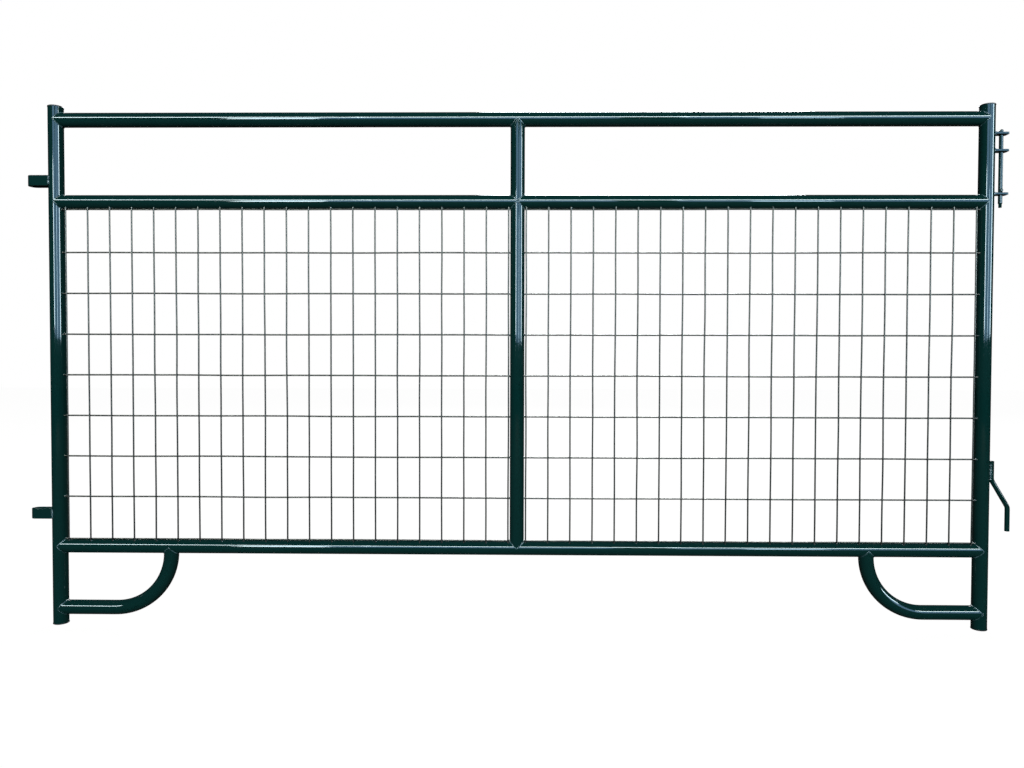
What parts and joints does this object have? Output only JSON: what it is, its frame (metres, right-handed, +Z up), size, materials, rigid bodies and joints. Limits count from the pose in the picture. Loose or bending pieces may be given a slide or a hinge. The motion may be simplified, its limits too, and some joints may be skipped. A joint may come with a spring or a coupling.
{
  "type": "livestock panel gate",
  "caption": "Freestanding tubular steel livestock panel with welded mesh below an open top bay, bent foot tubes, strap loops at one end, and a drop pin and a down-turned hook at the other.",
  "frame": {"origin": "centre of the bounding box at floor level, under the centre post", "axes": "+X along the panel towards the drop pin and hook end, +Y towards the back, +Z up; the mesh is on the -Y face"},
  "size_m": [2.394, 0.036, 1.27],
  "materials": {
    "green_powder_coat": "gloss",
    "mesh_powder_coat": "satin",
    "black_plastic": "satin"
  },
  "bodies": {
    "frame": {"left_post": "green_powder_coat", "right_post": "green_powder_coat", "top_rail": "green_powder_coat", "middle_rail": "green_powder_coat", "bottom_rail": "green_powder_coat", "centre_post_upper": "green_powder_coat", "centre_post_lower": "green_powder_coat", "left_foot_tube": "green_powder_coat", "right_foot_tube": "green_powder_coat", "left_post_top_plug": "black_plastic", "right_post_top_plug": "black_plastic", "left_post_foot_plug": "black_plastic", "right_post_foot_plug": "black_plastic", "mesh_left_uprights": "mesh_powder_coat", "mesh_left_cross_wires": "mesh_powder_coat", "mesh_right_uprights": "mesh_powder_coat", "mesh_right_cross_wires": "mesh_powder_coat", "upper_loop": "green_powder_coat", "lower_loop": "green_powder_coat", "pin_tab_top": "green_powder_coat", "pin_tab_middle": "green_powder_coat", "pin_tab_bottom": "green_powder_coat", "drop_hook": "green_powder_coat"},
    "latch": {"latch_pin": "green_powder_coat", "latch_pin_stop": "green_powder_coat"}
  },
  "joints": [
    {"name": "pin_lift", "type": "slide", "parent": "frame", "child": "latch", "axis": [0, 0, 1], "range_m": [0, 0.087]}
  ]
}
